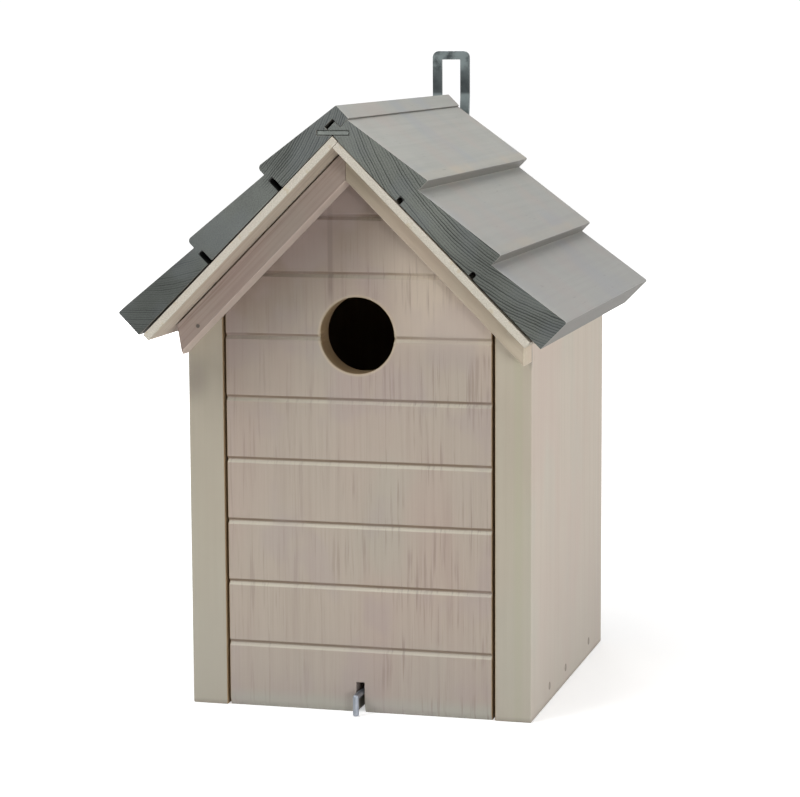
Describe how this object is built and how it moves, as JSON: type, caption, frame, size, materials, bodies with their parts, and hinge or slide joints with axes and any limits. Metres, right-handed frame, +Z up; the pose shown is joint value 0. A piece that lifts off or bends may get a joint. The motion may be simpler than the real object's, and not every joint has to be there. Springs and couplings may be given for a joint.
{
  "type": "nest box",
  "caption": "Wooden nest box with a steep stepped-board roof, round entrance, grooved swing-out front on pivot nails, turning hook latch and a steel hanging strap.",
  "frame": {"origin": "centre of the base, on the level the box stands on", "axes": "+Z up, front with the entrance hole towards -Y, +X to the right seen from the front"},
  "size_m": [0.1866, 0.1978, 0.2756],
  "materials": {
    "floor_board": "limewashed pine",
    "left_wall": "limewashed pine, vertical grain",
    "right_wall": "limewashed pine, vertical grain",
    "back_wall": "limewashed pine",
    "front_door": "limewashed pine, grooved across",
    "left_deck": "limewashed board",
    "right_deck": "limewashed board",
    "left_roof_board": "machined pine, grey-green stain, dark end grain",
    "right_roof_board": "machined pine, pale grey-green stain, dark end grain",
    "left_trim": "limewashed batten",
    "right_trim": "limewashed batten",
    "hanging_bracket": "dull zinc-plated strap",
    "bracket_screws": "zinc-plated",
    "ridge_staple": "dulled flat wire",
    "left_pivot_nail": "wire nail set flush, limewashed over",
    "right_pivot_nail": "wire nail set flush, limewashed over",
    "left_floor_nails": "wire nails, limewashed over",
    "right_floor_nails": "wire nails, limewashed over",
    "trim_nails": "small panel pin",
    "latch_hook": "zinc-plated, square-bent"
  },
  "bodies": {
    "box": {"floor_board": "floor_board", "left_wall": "left_wall", "right_wall": "right_wall", "back_wall": "back_wall", "left_deck": "left_deck", "right_deck": "right_deck", "left_roof_board": "left_roof_board", "right_roof_board": "right_roof_board", "left_trim": "left_trim", "right_trim": "right_trim", "hanging_bracket": "hanging_bracket", "bracket_screws": "bracket_screws", "ridge_staple": "ridge_staple", "left_pivot_nail": "left_pivot_nail", "right_pivot_nail": "right_pivot_nail", "left_floor_nails": "left_floor_nails", "right_floor_nails": "right_floor_nails", "trim_nails": "trim_nails"},
    "door": {"front_door": "front_door"},
    "latch": {"latch_hook": "latch_hook"}
  },
  "joints": [
    {"name": "door_swing", "type": "hinge", "parent": "box", "child": "door", "pos_m": [0, -0.07125, 0.152], "axis": [-1, 0, 0], "range_deg": [0, 90]},
    {"name": "latch_turn", "type": "hinge", "parent": "box", "child": "latch", "pos_m": [0.0004, -0.0775, 0.0083], "axis": [0, 1, 0], "range_deg": [0, 180]}
  ]
}
